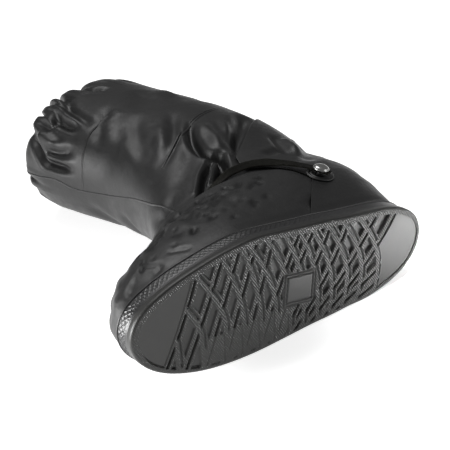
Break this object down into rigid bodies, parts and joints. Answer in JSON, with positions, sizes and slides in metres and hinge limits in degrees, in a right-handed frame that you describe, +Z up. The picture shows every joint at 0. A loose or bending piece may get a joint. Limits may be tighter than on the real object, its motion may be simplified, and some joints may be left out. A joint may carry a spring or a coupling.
{
  "type": "rain overshoe",
  "caption": "Tall slip-on rain overshoe of black coated sheet on a moulded rubber sole with a crossed-band tread, with a gathered hem and an ankle strap held by a snap, lying on its side.",
  "frame": {"origin": "on the floor, under the middle of the shoe as it lies on its inner side", "axes": "+Z up, the toe points along -X, the shaft opens along +Y and the ground face of the sole looks along -Y"},
  "size_m": [0.3184, 0.4212, 0.1202],
  "materials": {
    "coated_sheet": "black vinyl-coated sheet with a soft sheen",
    "sole_rubber": "moulded black rubber, smooth and slightly glossy",
    "elastic_webbing": "woven elastic, dark brown-black and matte",
    "plated_snap": "pressed steel with bright plating"
  },
  "bodies": {
    "root": {"outsole": "sole_rubber", "foxing_band": "sole_rubber", "upper": "coated_sheet", "vamp_panel": "coated_sheet", "heel_panel": "coated_sheet", "strap": "elastic_webbing", "snap_patch": "coated_sheet", "snap_stud": "plated_snap", "snap_cap": "plated_snap"}
  },
  "joints": []
}
